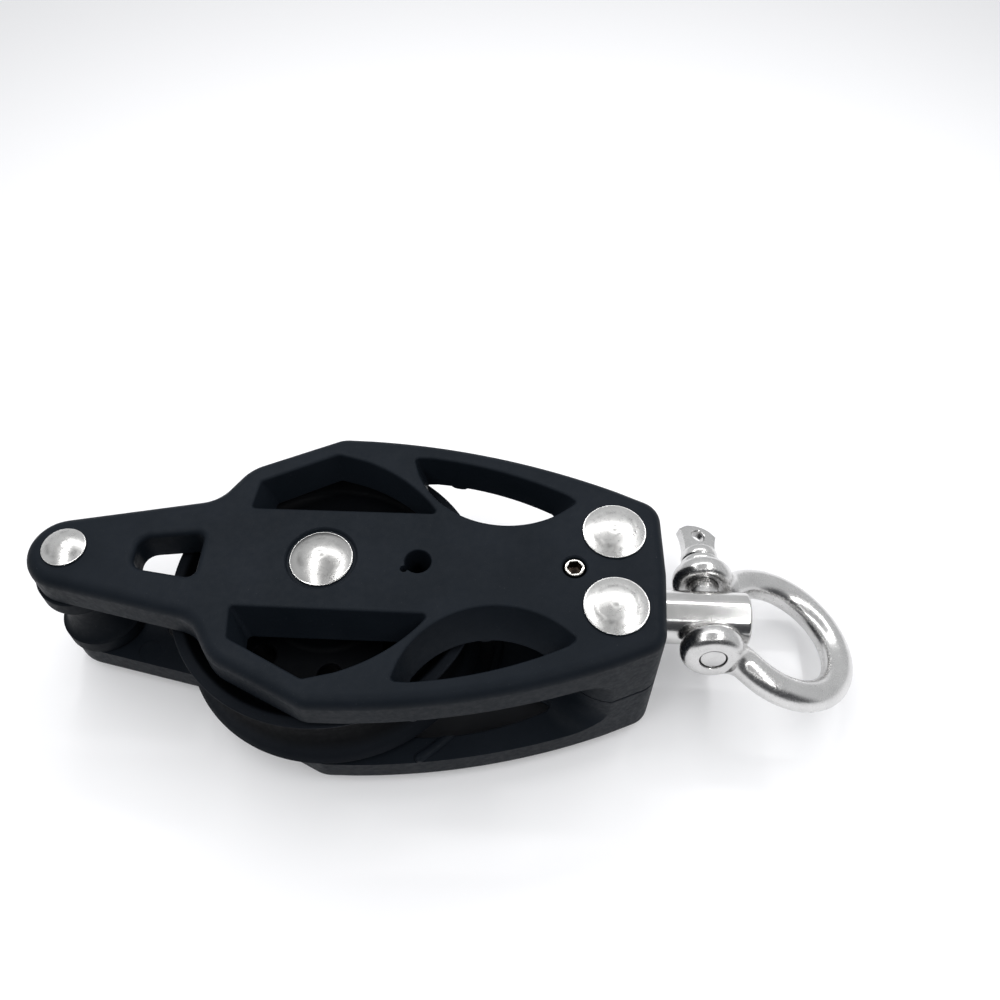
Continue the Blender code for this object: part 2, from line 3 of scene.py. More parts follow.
import bmesh
import bpy
import numpy as np
from mathutils import Matrix, Vector, noise


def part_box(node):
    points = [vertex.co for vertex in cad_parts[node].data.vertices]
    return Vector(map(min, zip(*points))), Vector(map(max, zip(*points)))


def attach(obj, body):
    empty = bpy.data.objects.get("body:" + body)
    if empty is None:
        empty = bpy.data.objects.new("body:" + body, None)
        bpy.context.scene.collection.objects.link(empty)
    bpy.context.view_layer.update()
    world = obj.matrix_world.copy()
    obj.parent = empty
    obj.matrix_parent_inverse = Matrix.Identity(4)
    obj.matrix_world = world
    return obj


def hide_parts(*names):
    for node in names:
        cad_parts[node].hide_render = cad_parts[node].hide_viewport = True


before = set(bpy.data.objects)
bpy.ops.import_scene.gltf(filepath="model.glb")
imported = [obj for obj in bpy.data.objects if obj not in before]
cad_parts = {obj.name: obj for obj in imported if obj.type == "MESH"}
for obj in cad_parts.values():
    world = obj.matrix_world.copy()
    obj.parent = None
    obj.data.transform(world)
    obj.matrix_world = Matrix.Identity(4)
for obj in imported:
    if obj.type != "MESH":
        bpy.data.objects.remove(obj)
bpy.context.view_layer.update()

MM = 0.001


# ---------------------------------------------------------------- where things are
# The block is described about the sheave's centre, in millimetres, as the frame places it.

sheave_low, sheave_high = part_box("sheave")
BLOCK = (sheave_low + sheave_high) / 2

BECKET_X = -48.4
INDEX_HOLE_X = 18.1
LOCK_SCREW_X = 47.3
HEAD_RIVET_X = 54.8
HEAD_RIVET_Y = 8.1
PIN_X = 74.8
SHACKLE_SHIFT = 1.0


# ---------------------------------------------------------------- outlines, in millimetres

def arc_through(start, middle, end, steps):
    """Points along the circle through three points, without the first one."""
    (ax, ay), (bx, by), (cx, cy) = start, middle, end
    area = 2 * (ax * (by - cy) + bx * (cy - ay) + cx * (ay - by))
    a, b, c = ax * ax + ay * ay, bx * bx + by * by, cx * cx + cy * cy
    ox = (a * (by - cy) + b * (cy - ay) + c * (ay - by)) / area
    oy = (a * (cx - bx) + b * (ax - cx) + c * (bx - ax)) / area
    radius = hypot(ax - ox, ay - oy)
    first = atan2(ay - oy, ax - ox)
    sweep = (atan2(cy - oy, cx - ox) - first) % (2 * pi)
    if (atan2(by - oy, bx - ox) - first) % (2 * pi) > sweep:
        sweep -= 2 * pi
    angles = [first + sweep * step / steps for step in range(1, steps + 1)]
    return [(ox + radius * cos(angle), oy + radius * sin(angle)) for angle in angles]


def rounded(corners, steps=8):
    """A closed outline from (x, y, corner radius); radius 0 keeps the point as it is."""
    points = []
    for index, (x, y, radius) in enumerate(corners):
        if radius == 0:
            points.append((x, y))
            continue
        here = Vector((x, y))
        before = (Vector(corners[index - 1][:2]) - here).normalized()
        after = (Vector(corners[(index + 1) % len(corners)][:2]) - here).normalized()
        half = acos(max(-1, min(1, before.dot(after)))) / 2
        reach = radius / tan(half)
        centre = here + (before + after).normalized() * (radius / sin(half))
        first = here + before * reach - centre
        turn = first.angle_signed(here + after * reach - centre)
        for step in range(steps + 1):
            spot = first.copy()
            spot.rotate(Matrix.Rotation(-turn * step / steps, 2))
            points.append(tuple(centre + spot))
    return points


def plain(points):
    return [(x, y, 0) for x, y in points]


def flipped(points, side):
    """The outline as it is, or mirrored across X, and always counterclockwise."""
    points = [(x, side * y) for x, y in points]
    area = sum(x0 * y1 - x1 * y0 for (x0, y0), (x1, y1) in zip(points, points[1:] + points[:1]))
    return points if area > 0 else points[::-1]


def offset(points, distance):
    """A counterclockwise outline moved outwards by a distance, point by point."""
    moved = []
    for index, point in enumerate(points):
        here = Vector(point)
        along = (here - Vector(points[index - 1])).normalized()
        onward = (Vector(points[(index + 1) % len(points)]) - here).normalized()
        bisector = Vector((along.y + onward.y, -along.x - onward.x)).normalized()
        stretch = 1 / max(0.5, bisector.dot(Vector((along.y, -along.x))))
        moved.append(tuple(here + bisector * distance * stretch))
    return moved


def shrunk(points, distance):
    """An outline scaled about its middle so that each side comes in by a distance."""
    low = [min(point[axis] for point in points) for axis in (0, 1)]
    high = [max(point[axis] for point in points) for axis in (0, 1)]
    middle = [(low[axis] + high[axis]) / 2 for axis in (0, 1)]
    scale = [1 - 2 * distance / (high[axis] - low[axis]) for axis in (0, 1)]
    return [tuple(middle[axis] + (point[axis] - middle[axis]) * scale[axis] for axis in (0, 1))
            for point in points]


def cheek_outline():
    """The cheek in plan: a round end at the becket, a straight arm, a curved rim and a square head."""
    rim = arc_through((0.3, 29.55), (32.3, 26.1), (60.0, 16.95), 40)
    half = plain(arc_through((-55.9, 0.0), (-53.7, 5.3), (-49.96, 7.335), 18))
    half += [(-22.2, 13.25, 7.0), (-17.4, 21.0, 9.0), (0.3, 29.55, 6.0)]
    half += plain(rim[3:-3]) + [(63.9, 15.1, 4.8)]
    whole = [(-55.9, 0, 0)] + half + [(64.5, 0, 0)] + [(x, -y, r) for x, y, r in reversed(half)]
    return flipped(rounded(whole), 1)


def pocket_outlines(side):
    """The pocket at the cheek's inner face and, wider, at its outer face."""
    levels = []
    for corners, curve, tip in (
            ([(-12.8, 13.0, 0.9), (-12.5, 16.9, 0.9), (-0.1, 23.7, 1.5)],
             arc_through((1.9, 23.1), (13.3, 18.0), (18.8, 13.0), 20), (18.8, 13.0, 0.5)),
            ([(-15.3, 10.6, 0.7), (-14.6, 17.2, 0.9), (0.0, 24.9, 1.6)],
             arc_through((2.2, 24.4), (13.9, 18.7), (21.3, 10.8), 20), (21.3, 10.8, 0.6))):
        levels.append(flipped(rounded(corners + plain(curve[2:-2]) + [tip]), side))
    return levels


def crescent_outlines(side):
    """The crescent at the cheek's inner face and, wider, at its outer face."""
    levels = []
    for inner, left, outer, right in (
            (arc_through((43.2, 15.2), (33.2, 11.9), (18.1, 20.6), 40), (17.2, 23.3, 0.6),
             arc_through((18.6, 23.5), (32.6, 21.1), (43.4, 16.7), 24), (44.2, 15.6, 0.5)),
            (arc_through((47.2, 14.2), (34.4, 8.7), (16.2, 20.8), 40), (15.1, 24.6, 0.7),
             arc_through((17.0, 24.8), (33.0, 21.7), (46.5, 16.2), 24), (48.0, 14.8, 0.6))):
        corners = plain(inner) + [left] + plain(outer) + [right]
        levels.append(flipped(rounded(corners), side))
    return levels


def slot_outlines():
    """The slot's end towards the becket stands square; its other walls lean in a little."""
    levels = []
    for corners in ([(-22.7, 5.3, 1.8), (-22.7, -5.3, 1.8), (-35.8, -3.5, 2.8), (-35.8, 3.5, 2.8)],
                    [(-22.3, 5.7, 1.8), (-22.3, -5.7, 1.8), (-35.8, -3.7, 2.8), (-35.8, 3.7, 2.8)]):
        levels.append(flipped(rounded(corners), 1))
    return levels


# ---------------------------------------------------------------- solids, in millimetres

def skinned(bm, loops):
    """Join each loop of vertices to the next with faces, and close both ends."""
    for lower, upper in zip(loops, loops[1:]):
        for index in range(len(lower)):
            after = (index + 1) % len(lower)
            bm.faces.new([lower[index], lower[after], upper[after], upper[index]])
    bm.faces.new(loops[0][::-1])
    bm.faces.new(loops[-1])
    bmesh.ops.recalc_face_normals(bm, faces=bm.faces)
    return bm


def lofted(levels):
    """A closed solid through outlines of equal length, as (points, height) from low to high."""
    bm = bmesh.new()
    return skinned(bm, [[bm.verts.new((x, y, height)) for x, y in points] for points, height in levels])


def turned(profile, segments, closed=False):
    """Revolve (radius, height) points about Z. An open profile ends on the axis."""
    bm = bmesh.new()
    loops = []
    for radius, height in profile:
        turns = [2 * pi * step / segments for step in range(segments if radius > 0 else 1)]
        loops.append([bm.verts.new((radius * cos(turn), radius * sin(turn), height)) for turn in turns])
    pairs = list(zip(loops, loops[1:]))
    if closed:
        pairs.append((loops[-1], loops[0]))
    for lower, upper in pairs:
        for step in range(segments):
            after = (step + 1) % segments
            corners = [lower[step % len(lower)], lower[after % len(lower)],
                       upper[after % len(upper)], upper[step % len(upper)]]
            distinct = list(dict.fromkeys(corners))
            if len(distinct) > 2:
                bm.faces.new(distinct)
    bmesh.ops.recalc_face_normals(bm, faces=bm.faces)
    return bm


def rod(radius, low, high, segments=48):
    return turned([(0, low), (radius, low), (radius, high), (0, high)], segments)


def shifted(bm, x=0.0, y=0.0, z=0.0):
    bmesh.ops.translate(bm, verts=bm.verts, vec=(x, y, z))
    return bm


def rotated(bm, angle, axis):
    bmesh.ops.rotate(bm, verts=bm.verts, matrix=Matrix.Rotation(angle, 3, axis))
    return bm


def quarter(steps=5):
    """(share across, share along) of a quarter circle that starts straight and ends across."""
    turns = [pi / 2 * step / steps for step in range(steps + 1)]
    return [(1 - cos(turn), sin(turn)) for turn in turns]


# ---------------------------------------------------------------- objects and modifiers

def add_mesh(name, bm, place=(0, 0, 0)):
    """An object at a place from the block's centre, from a solid drawn in millimetres."""
    bmesh.ops.scale(bm, verts=bm.verts, vec=(MM, MM, MM))
    mesh = bpy.data.meshes.new(name)
    bm.to_mesh(mesh)
    bm.free()
    made = bpy.data.objects.new(name, mesh)
    made.location = BLOCK + Vector(place) * MM
    bpy.context.scene.collection.objects.link(made)
    return made


def combined(target, helpers, operation="DIFFERENCE"):
    """Apply a Boolean with each helper in turn, and remove the helpers."""
    for helper in helpers:
        step = target.modifiers.new(helper.name, "BOOLEAN")
        step.operation = operation
        step.object = helper
        step.solver = "EXACT"
    applied(target)
    for helper in helpers:
        bpy.data.objects.remove(helper)


def applied(target):
    """Replace the mesh with what its modifiers make of it."""
    bpy.context.view_layer.update()
    shown = target.evaluated_get(bpy.context.evaluated_depsgraph_get())
    mesh = bpy.data.meshes.new_from_object(shown)
    target.modifiers.clear()
    target.data = mesh
    mesh.name = target.name


def softened(target, width, segments=2, angle=40):
    """Round what sharp edges are left, by a small width in millimetres."""
    step = target.modifiers.new("edge", "BEVEL")
    step.limit_method = "ANGLE"
    step.angle_limit = radians(angle)
    step.width = width * MM
    step.segments = segments
    step.miter_outer = "MITER_ARC"
    applied(target)


def finished(target, body, slot, finish, *nodes, sharp=50):
    """Shade a piece, give it its material, and let it stand for its CAD nodes."""
    mesh = target.data
    mesh.materials.clear()
    mesh.materials.append(finish)
    mesh.shade_smooth()
    mesh.set_sharp_from_angle(angle=radians(sharp))
    weigh = target.modifiers.new("weighted_normals", "WEIGHTED_NORMAL")
    weigh.keep_sharp = True
    weigh.weight = 60
    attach(target, body)
    if nodes:
        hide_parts(*nodes)
    return target


# ---------------------------------------------------------------- cheeks

HALF_THICKNESS = 17.3
INNER_FACE = 9.8
PARTING = 0.15
RIM_FILLET = 2.4


def cheek_body():
    """The cheek's full height: a rounded rim above, and a fine edge at the parting plane."""
    outline = cheek_outline()
    levels = [(offset(outline, -0.3), PARTING), (offset(outline, -0.09), PARTING + 0.09),
              (outline, PARTING + 0.3)]
    start = HALF_THICKNESS - RIM_FILLET
    levels += [(offset(outline, -RIM_FILLET * across), start + RIM_FILLET * along)
               for across, along in quarter(8)]
    return lofted(levels)


def head_face(setback):
    """The rope space in plan: bowed towards the sheave, rounded at its corners, less a setback."""
    middle_x, bow, half_width, steps = 42.0, 3.8, 12.6, 14
    face = []
    for step in range(steps + 1):
        y = half_width * step / steps
        face.append((middle_x + bow * (y / half_width) ** 2, y))
    face += arc_through(face[-1], (49.3, 16.85), (55.5, 18.95), 12)
    face += [(64.0, 20.9), (64.0, 38.0), (-72.0, 38.0)]
    whole = [(x, -y) for x, y in reversed(face)] + face[1:]
    return offset(flipped(whole, 1), -setback)


def rope_space():
    """Room for the sheave and rope, rounded where the head's face runs into the cheek."""
    fillet = 5.0
    start = INNER_FACE - fillet
    levels = [(head_face(0), -2.0)]
    levels += [(head_face(fillet * across), start + fillet * along) for across, along in quarter(8)]
    return lofted(levels)


def rope_guard():
    """A half-round ridge on the cheek's inner face, on the head's side of the sheave."""
    bm = bmesh.new()
    ridge, half_width, height, reach = 33.5, 1.0, 0.9, radians(55)
    caps = [(sin(turn), cos(turn)) for turn in (radians(18 * step) for step in range(1, 5))]
    stations = [(reach + half_width / ridge * ahead, share) for ahead, share in reversed(caps)]
    stations += [(reach * (1 - step / 28), 1) for step in range(57)]
    stations += [(-reach - half_width / ridge * ahead, share) for ahead, share in caps]
    section = ((-1, 0.35), (-0.72, 0.8), (-0.3, 1), (0.3, 1), (0.72, 0.8), (1, 0.35))
    loops = []
    for turn, share in stations:
        spots = [(ridge - share * half_width, INNER_FACE + height)]
        spots += [(ridge + across * share * half_width, INNER_FACE - drop * share * height)
                  for across, drop in section]
        spots.append((ridge + share * half_width, INNER_FACE + height))
        loops.append([bm.verts.new((radius * cos(turn), radius * sin(turn), level))
                      for radius, level in spots])
    return skinned(bm, loops)


def window(outlines, top_edge, bottom_edge=0.35):
    """A cutter whose walls lean in towards the sheave and flare at both faces."""
    narrow = shrunk(outlines[0], bottom_edge / 2)
    wide = shrunk(outlines[1], top_edge / 2)
    levels = [(offset(narrow, bottom_edge), 6.0)]
    levels += [(offset(narrow, bottom_edge * across), INNER_FACE + bottom_edge * (1 - along))
               for across, along in reversed(quarter(3))]
    levels += [(offset(wide, top_edge * across), HALF_THICKNESS - top_edge * (1 - along))
               for across, along in quarter(5)]
    levels.append((offset(wide, top_edge), HALF_THICKNESS + 2))
    return lofted(levels)


def round_hole(x, y, radius, edge=0.4):
    """A cutter for a round hole through the cheek with a small rounded rim."""
    profile = [(0, -2.0), (radius, -2.0)]
    profile += [(radius + edge * across, HALF_THICKNESS - edge * (1 - along)) for across, along in quarter(3)]
    profile += [(radius + edge, HALF_THICKNESS + 2), (0, HALF_THICKNESS + 2)]
    return shifted(turned(profile, 48), x, y)


def build_cheek(name, upper, finish):
    """One moulded cheek. The lower one is the upper one reflected, without the lock screw's hole."""
    cheek = add_mesh(name, cheek_body())
    space = add_mesh("rope_space", rope_space())
    combined(space, [add_mesh("rope_guard", rope_guard())])
    cutters = [space]
    for side in (1, -1):
        cutters.append(add_mesh("pocket", window(pocket_outlines(side), 0.6)))
        cutters.append(add_mesh("crescent", window(crescent_outlines(side), 0.55)))
        cutters.append(add_mesh("head_rivet_hole", round_hole(HEAD_RIVET_X, HEAD_RIVET_Y * side, 3.6)))
    cutters.append(add_mesh("slot", window(slot_outlines(), 1.3)))
    cutters.append(add_mesh("index_hole", round_hole(INDEX_HOLE_X, 0, 2.5, 0.3)))
    notch = shifted(rod(0.75, 15.0, 19.0, 24), INDEX_HOLE_X - 2.45, -1.75)
    cutters.append(add_mesh("index_notch", notch))
    mark = shifted(rod(2.3, INNER_FACE - 0.8, INNER_FACE + 0.15, 40), -38.0, -7.0)
    cutters.append(add_mesh("ejector_mark", mark))
    cutters.append(add_mesh("becket_hole", round_hole(BECKET_X, 0, 2.7)))
    recessed = [(0, -2), (4.3, -2), (4.3, 16.6), (6.5, 16.6), (6.62, 17.05), (6.9, 17.3), (6.9, 19), (0, 19)]
    cutters.append(add_mesh("axle_hole", turned(recessed, 72)))
    flared = [(0, 44.5), (5.65, 44.5), (5.65, 63.7), (5.8, 64.1), (6.1, 64.35), (6.1, 68), (0, 68)]
    cutters.append(add_mesh("post_bore", rotated(turned(flared, 70), pi / 2, "Y")))
    if upper:
        lock = turned([(0, 4.6), (2.3, 4.6), (2.3, 17.0), (2.6, 17.3), (2.6, 19), (0, 19)], 40)
        cutters.append(add_mesh("lock_hole", shifted(lock, LOCK_SCREW_X)))
    combined(cheek, cutters)
    if not upper:
        cheek.data.transform(Matrix.Scale(-1, 4, (0, 0, 1)))
        cheek.data.flip_normals()
    softened(cheek, 0.3)
    return finished(cheek, "frame", "cheek_nylon", finish, "cheek_upper" if upper else "cheek_lower")


# ---------------------------------------------------------------- sheave and becket

def build_sheave(finish):
    """Dished web with eight holes, flanges with rounded edges, and a shallow round groove."""
    half, rim, edge, depth, web = 8.5, 30.0, 0.35, 3.0, 4.0
    hole_count, hole_circle, hole_phase, hole_radius, hole_edge = 8, 17.6, -82.5, 2.35, 0.3
    groove_half = half - 0.9
    groove_radius = (groove_half ** 2 + depth ** 2) / (2 * depth)
    sweep = atan2(groove_half, groove_radius - depth)
    centre = rim - depth + groove_radius
    steps = 28
    groove = []
    for step in range(steps + 1):
        turn = sweep * (1 - 2 * step / steps)
        groove.append((centre - groove_radius * cos(turn), groove_radius * sin(turn)))
    corner = [(rim - edge * across, half - edge * (1 - along)) for across, along in reversed(quarter(4))]
    side = [(8.3, half - 0.3), (8.6, half), (10.95, half), (11.2, half - 0.25), (11.9, web + 0.9),
            (12.2, web + 0.35), (12.7, web + 0.06), (13.2, web), (24.0, web), (24.6, web + 0.1),
            (25.2, web + 0.5), (27.6, half - 0.5), (27.9, half - 0.15), (28.3, half)]
    side += corner
    lower = [(radius, -height) for radius, height in reversed(side)]
    sheave = add_mesh("sheave_wheel", turned(side + groove[1:-1] + lower, 192, closed=True))
    cutters = []
    flare = [(hole_radius + hole_edge * across, web - hole_edge * (1 - along))
             for across, along in quarter(3)]
    flare += [(hole_radius + hole_edge, half + 1), (0, half + 1)]
    profile = [(radius, -height) for radius, height in reversed(flare)] + flare
    for index in range(hole_count):
        turn = radians(hole_phase + 360 / hole_count * index)
        hole = shifted(turned(profile, 40), hole_circle * cos(turn), hole_circle * sin(turn))
        cutters.append(add_mesh("web_hole", hole))
    combined(sheave, cutters)
    return finished(sheave, "sheave", "sheave_nylon", finish, "sheave")


def build_spool(finish):
    """The becket's waisted spool, with rounded flange edges."""
    half, flange, flange_height, waist_depth, edge, steps = 9.5, 8.0, 3.4, 2.0, 0.25, 24
    straight = half - flange_height
    waist = []
    for step in range(steps + 1):
        turn = pi * step / steps
        waist.append((flange - waist_depth * sin(turn), straight * cos(turn)))
    corner = [(flange - edge * across, half - edge * (1 - along)) for across, along in reversed(quarter(4))]
    side = [(2.7, half)] + corner
    lower = [(radius, -height) for radius, height in reversed(side)]
    spool = add_mesh("becket_roller", shifted(turned(side + waist + lower, 96, closed=True), BECKET_X))
    return finished(spool, "becket", "spool_nylon", finish, "becket_spool")


# ---------------------------------------------------------------- rivets

RIVET_TOP = 19.0


def rivet_half(shank, head, seat):
    """Half profile from the shank out to the head's rim and over its dome to the axis."""
    cap_steps = 26
    rim = seat + 0.42
    rise = RIVET_TOP - rim
    sphere = ((head - 0.1) ** 2 + rise ** 2) / (2 * rise)
    widest = atan2(head - 0.1, sphere - rise)
    half = [(shank, seat), (head - 0.15, seat), (head, seat + 0.14), (head, rim - 0.14),
            (head - 0.04, rim - 0.04)]
    for step in range(cap_steps + 1):
        turn = widest * (1 - step / cap_steps)
        half.append((sphere * sin(turn), RIVET_TOP - sphere * (1 - cos(turn))))
    half[-1] = (0, RIVET_TOP)
    return half


def peened(bm, head, seat, seed):
    """Work the heads: a faint ring from the tool, a centre mark and shallow uneven blows."""
    drift = Vector((seed * 7.3, seed * 3.1, 0))
    for vert in bm.verts:
        x, y, z = vert.co
        if abs(z) < seat + 0.4:
            continue
        radius = hypot(x, y)
        around = Vector((x, y, z)) / 2.3 + drift
        uneven = noise.noise(around) * 0.02 + noise.noise(around * 2.7) * 0.004
        ring = -0.03 * exp(-((radius - 0.66 * head) / 0.3) ** 2) * (0.7 + noise.noise(around * 0.8))
        pip = 0.03 * exp(-(radius / 0.4) ** 2) - 0.03 * exp(-((radius - 0.85) / 0.3) ** 2)
        fade = min(1, max(0, (head - radius) / 0.9))
        vert.co.z += (1 if z > 0 else -1) * (uneven * fade + ring + pip - 0.05)
    return bm


def build_rivet(node, place, shank, head, seat, seed, finish):
    """A rivet along Z with a worked dome at each end."""
    half = rivet_half(shank, head, seat)
    profile = [(radius, -height) for radius, height in reversed(half)] + half
    body = peened(turned(profile, 96), head, seat, seed)
    return finished(add_mesh(f"{node}_worked", body, place), "frame", "rivet_steel", finish, node)


# ---------------------------------------------------------------- swivel and shackle

ROLL = Matrix.Rotation(radians(-10.7), 4, "X")
CROSS_HOLE = Matrix.Translation((PIN_X, 0, 0))
SHACKLE = Matrix.Translation((PIN_X * MM, SHACKLE_SHIFT * MM, 0))
DROOP = Matrix.Rotation(radians(22.6), 4, "Y")


def moved(bm, place):
    bmesh.ops.transform(bm, verts=bm.verts, matrix=place)
    return bm


def build_post(finish):
    """Turned post along X, cross-drilled for the shackle pin, with rounded ends."""
    radius, lock_radius, retaining_radius = 5.35, 4.6, 4.5
    start, end, edge = 44.8, 82.6, 0.6
    profile = [(0, start), (4.4, start), (lock_radius, start + 0.2), (lock_radius, 49.6), (4.8, 49.8),
               (radius, 49.8), (radius, 51.2), (retaining_radius, 51.2), (retaining_radius, 58.4),
               (radius, 58.4)]
    profile += [(radius - edge * across, end - edge * (1 - along)) for across, along in quarter(5)]
    profile.append((0, end))
    body = rotated(turned(profile, 128), pi / 2, "Y")
    post = add_mesh("swivel_barrel", moved(body, ROLL))
    flare = [(3.15, 0), (3.15, 3.9), (3.5, 4.6), (4.2, 8)]
    bore = [(across, -along) for across, along in reversed(flare)] + flare[1:]
    hole = rotated(turned([(0, -8)] + bore + [(0, 8)], 64), pi / 2, "X")
    combined(post, [add_mesh("pin_hole", moved(hole, ROLL @ CROSS_HOLE))])
    softened(post, 0.15)
    return finished(post, "swivel", "turned_steel", finish, "swivel_post", sharp=35)


def build_lock_screw(finish, socket_shade_finish):
    """Socket set screw, seen from above: a thin chamfered rim round a hexagonal socket."""
    profile = [(0, 6.1), (1.1, 6.1), (1.9, 6.9), (1.9, 16.85), (1.78, 17.1), (0, 17.1)]
    screw = add_mesh("lock_screw_body", shifted(turned(profile, 64), LOCK_SCREW_X))
    socket = rotated(turned([(0, 14.4), (1.5, 15.0), (1.5, 18.0), (0, 18.0)], 6), radians(8), "Z")
    combined(screw, [add_mesh("socket", shifted(socket, LOCK_SCREW_X))])
    softened(screw, 0.06)
    finished(screw, "lock_screw", "turned_steel", finish, "swivel_lock_screw", sharp=35)
    # Painted shade: the faces inside the hex socket take a near-black steel that stands in for the shade in
    # the socket.
    screw.data.materials.append(socket_shade_finish)
    for face in screw.data.polygons:
        x, y, z = face.center / MM
        inside = hypot(x - LOCK_SCREW_X, y) < 1.46 and 14.0 < z < 16.95
        face.material_index = 1 if inside else 0
    return screw


WIRE_RADIUS = 3.1
LEG_START = 6.3
LEG_OFFSET = 9.25
BOW_CENTRE = 16.9
BOW_RADIUS = 13.7
EYE_RADIUS = 6.2
EYE_MIDDLE = 9.03
EYE_HALF = 2.37
EYE_EDGE_OUTSIDE = 2.2
EYE_EDGE_INSIDE = 1.9


def bow_path():
    """Centre line of the bow in its own plane: leg, round bow, leg."""
    steps = 72
    reach = hypot(BOW_CENTRE - LEG_START, LEG_OFFSET)
    tangent = atan2(LEG_OFFSET, LEG_START - BOW_CENTRE) - acos(BOW_RADIUS / reach)
    path = [(LEG_START, LEG_OFFSET)]
    for step in range(steps + 1):
        turn = tangent * (1 - 2 * step / steps)
        path.append((BOW_CENTRE + BOW_RADIUS * cos(turn), BOW_RADIUS * sin(turn)))
    path.append((LEG_START, -LEG_OFFSET))
    return path


def swept_wire(path, radius, sides):
    """A round wire along a flat path, with capped ends."""
    bm = bmesh.new()
    loops = []
    for index, (u, v) in enumerate(path):
        before, after = path[max(index - 1, 0)], path[min(index + 1, len(path) - 1)]
        along = Vector((after[0] - before[0], after[1] - before[1], 0)).normalized()
        middle, across, upright = Vector((u, v, 0)), Vector((along.y, -along.x, 0)), Vector((0, 0, 1))
        turns = [2 * pi * side / sides for side in range(sides)]
        loops.append([bm.verts.new(middle + radius * (cos(turn) * across + sin(turn) * upright))
                      for turn in turns])
    return skinned(bm, loops)


def forged_distance(points, path):
    """Distance to the forging's surface: wire and eyes, run together with a smooth blend."""
    starts = np.array([(u, v, 0) for u, v in path[:-1]])
    ends = np.array([(u, v, 0) for u, v in path[1:]])
    nearest = np.full(len(points), 1e9)
    for start, end in zip(starts, ends):
        along = end - start
        share = np.clip((points - start) @ along / (along @ along), 0, 1)
        nearest = np.minimum(nearest, np.linalg.norm(points - start - share[:, None] * along, axis=1))
    wire = nearest - WIRE_RADIUS
    past_middle = np.abs(points[:, 1]) - EYE_MIDDLE
    edge = np.where(past_middle > 0, EYE_EDGE_OUTSIDE, EYE_EDGE_INSIDE)
    radial = np.hypot(points[:, 0], points[:, 2]) - (EYE_RADIUS - edge)
    sideways = np.abs(past_middle) - (EYE_HALF - edge)
    inside = np.minimum(np.maximum(radial, sideways), 0)
    eyes = inside + np.hypot(np.maximum(radial, 0), np.maximum(sideways, 0)) - edge
    blend = 1.8
    share = np.clip(0.5 + 0.5 * (eyes - wire) / blend, 0, 1)
    return eyes + (wire - eyes) * share - blend * share * (1 - share)


def build_bow(finish):
    """The shackle's bow: a voxel skin over wire and eyes, drawn onto the blended surface."""
    path = bow_path()
    bow = add_mesh("shackle_forging", swept_wire(path, WIRE_RADIUS, 24))
    for side in (1, -1):
        low, high = sorted((side * (EYE_MIDDLE - EYE_HALF), side * (EYE_MIDDLE + EYE_HALF)))
        profile = [(0, low), (EYE_RADIUS, low), (EYE_RADIUS, high), (0, high)]
        barrel = add_mesh("eye", rotated(turned(profile, 48), -pi / 2, "X"))
        combined(bow, [barrel], "UNION")
    skin = bow.modifiers.new("skin", "REMESH")
    skin.mode = "VOXEL"
    skin.voxel_size = 0.36 * MM
    applied(bow)
    mesh = bow.data
    flat = np.empty(len(mesh.vertices) * 3)
    mesh.vertices.foreach_get("co", flat)
    points = flat.reshape(-1, 3) / MM
    reach = 0.01
    for _ in range(8):
        here = forged_distance(points, path)
        nearby = [forged_distance(points + step, path) for step in np.eye(3) * reach]
        slope = np.stack([(there - here) / reach for there in nearby], 1)
        points -= 0.9 * here[:, None] * slope / np.maximum((slope ** 2).sum(1), 0.2)[:, None]
    mesh.vertices.foreach_set("co", (points * MM).ravel())
    mesh.update()
    for side in (1, -1):
        inner, outer = EYE_MIDDLE - EYE_HALF, EYE_MIDDLE + EYE_HALF
        bore = 3.15 if side > 0 else 2.65
        profile = [(0, inner - 2), (4.0, inner - 2), (4.0, inner), (3.6, inner + 0.3), (bore, inner + 0.45),
                   (bore, outer - 0.15), (bore + 0.15, outer)]
        profile += [(4.6, outer + 0.05), (4.6, outer + 2), (0, outer + 2)]
        combined(bow, [add_mesh("bore", rotated(turned(profile, 64), -side * pi / 2, "X"))])
    bow.data.transform(ROLL @ SHACKLE @ DROOP)
    return finished(bow, "shackle", "polished_steel", finish, "shackle_bow", sharp=45)


